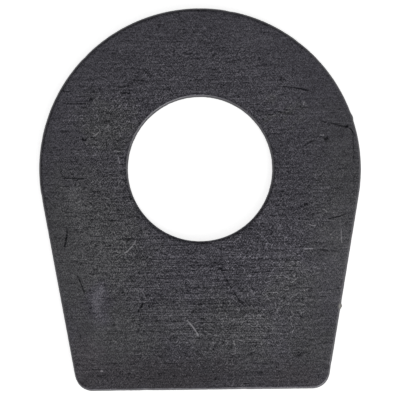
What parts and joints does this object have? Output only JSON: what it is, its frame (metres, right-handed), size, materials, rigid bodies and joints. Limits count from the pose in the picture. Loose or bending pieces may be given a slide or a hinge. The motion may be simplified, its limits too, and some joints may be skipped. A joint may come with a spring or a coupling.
{
  "type": "clutch washer",
  "caption": "Flat steel clutch washer with a round top and bore, sides that lean in and a straight base that keeps it from turning.",
  "frame": {"origin": "middle of the bore, half way through the plate", "axes": "+Z along the bore, out of the face with the larger edge rounding; +Y towards the round top, so the straight base faces -Y"},
  "size_m": [0.0318, 0.0376, 0.0012],
  "materials": {
    "black_steel": "black oxide over rolled steel, satin, with fine scratches and brighter worn edges"
  },
  "bodies": {
    "root": {"clutch_washer": "black_steel"}
  },
  "joints": []
}
